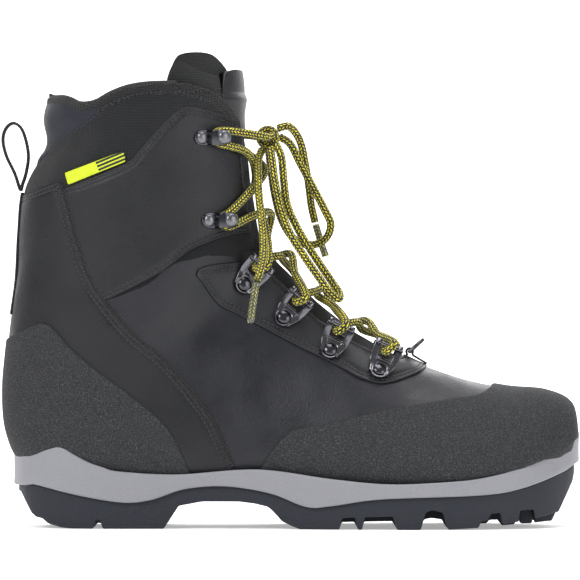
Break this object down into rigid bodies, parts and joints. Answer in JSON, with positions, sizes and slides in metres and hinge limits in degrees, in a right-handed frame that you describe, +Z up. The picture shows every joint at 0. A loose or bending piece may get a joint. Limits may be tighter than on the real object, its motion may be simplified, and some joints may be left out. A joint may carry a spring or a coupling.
{
  "type": "cross country ski boot",
  "caption": "Laced backcountry touring ski boot with a leather upper, rubber rands, lugged sole and a steel toe bar for a pin binding.",
  "frame": {"origin": "on the ground, under the middle of the boot's box", "axes": "+X to the toe, +Y to the inner side of this right boot, +Z up"},
  "size_m": [0.3061, 0.1074, 0.2513],
  "materials": {
    "outsole_rubber": "matt moulded rubber",
    "midsole": "satin moulded polyurethane",
    "steel": "turned steel",
    "stiffener": "matt",
    "board": "fibreboard",
    "insole": "felted foam",
    "lining": "brushed knit",
    "leather": "fine grained, semi-matt",
    "flex_textile": "soft stretch textile",
    "woven_textile": "woven",
    "rear_collar_knit": "smooth stretch knit",
    "binding_knit": "ribbed knit",
    "tongue_textile": "woven, padded",
    "webbing": "woven webbing",
    "rand": "speckled abrasion-proof",
    "label": "satin woven label",
    "gunmetal": "polished black chrome",
    "lace": "braided cord",
    "aglet": "clear tube"
  },
  "bodies": {
    "boot": {"outsole": "outsole_rubber", "midsole": "midsole", "binding_bar": "steel", "shank_plate": "stiffener", "heel_counter": "stiffener", "toe_puff": "stiffener", "lasting_board": "board", "insole": "insole", "bootie_lining": "lining", "vamp": "leather", "eyestay_lateral": "leather", "eyestay_medial": "leather", "tongue_tab": "leather", "gaiter_tab": "leather", "heel_quarter_lateral": "leather", "cuff_quarter_lateral": "leather", "ankle_flex_panel_lateral": "flex_textile", "woven_cuff_lateral": "woven_textile", "heel_quarter_medial": "leather", "cuff_quarter_medial": "leather", "ankle_flex_panel_medial": "flex_textile", "woven_cuff_medial": "woven_textile", "rear_collar": "rear_collar_knit", "collar_binding": "binding_knit", "tongue": "tongue_textile", "backstay_strip": "webbing", "heel_rand": "rand", "toe_rand": "rand", "side_label": "label", "lace_loop_3_lateral": "gunmetal", "rivet_loop_3_lateral": "gunmetal", "lace_loop_4_lateral": "gunmetal", "rivet_loop_4_lateral": "gunmetal", "lace_loop_5_lateral": "gunmetal", "rivet_loop_5_lateral": "gunmetal", "lace_loop_6_lateral": "gunmetal", "rivet_loop_6_lateral": "gunmetal", "speed_hook_1_lateral": "gunmetal", "speed_hook_2_lateral": "gunmetal", "lace_loop_3_medial": "gunmetal", "rivet_loop_3_medial": "gunmetal", "lace_loop_4_medial": "gunmetal", "rivet_loop_4_medial": "gunmetal", "lace_loop_5_medial": "gunmetal", "rivet_loop_5_medial": "gunmetal", "lace_loop_6_medial": "gunmetal", "rivet_loop_6_medial": "gunmetal", "speed_hook_1_medial": "gunmetal", "speed_hook_2_medial": "gunmetal", "lace_run": "lace", "lace_knot": "lace", "bow_loop_near": "lace", "bow_loop_far": "lace", "lace_tail_near": "lace", "lace_tail_far": "lace", "aglet_near": "aglet", "aglet_far": "aglet"},
    "gaiter_ring": {"gaiter_ring": "gunmetal"},
    "pull_loop": {"pull_loop": "webbing"}
  },
  "joints": [
    {"name": "gaiter_ring_hinge", "type": "hinge", "parent": "boot", "child": "gaiter_ring", "pos_m": [0.0626, 0, 0.0926], "axis": [0, 1, 0], "range_deg": [-40, 50]},
    {"name": "pull_loop_hinge", "type": "hinge", "parent": "boot", "child": "pull_loop", "pos_m": [-0.1426, 0, 0.1784], "axis": [0, 1, 0], "range_deg": [-100, 4], "stiffness_Nm_per_rad": 0.004}
  ]
}
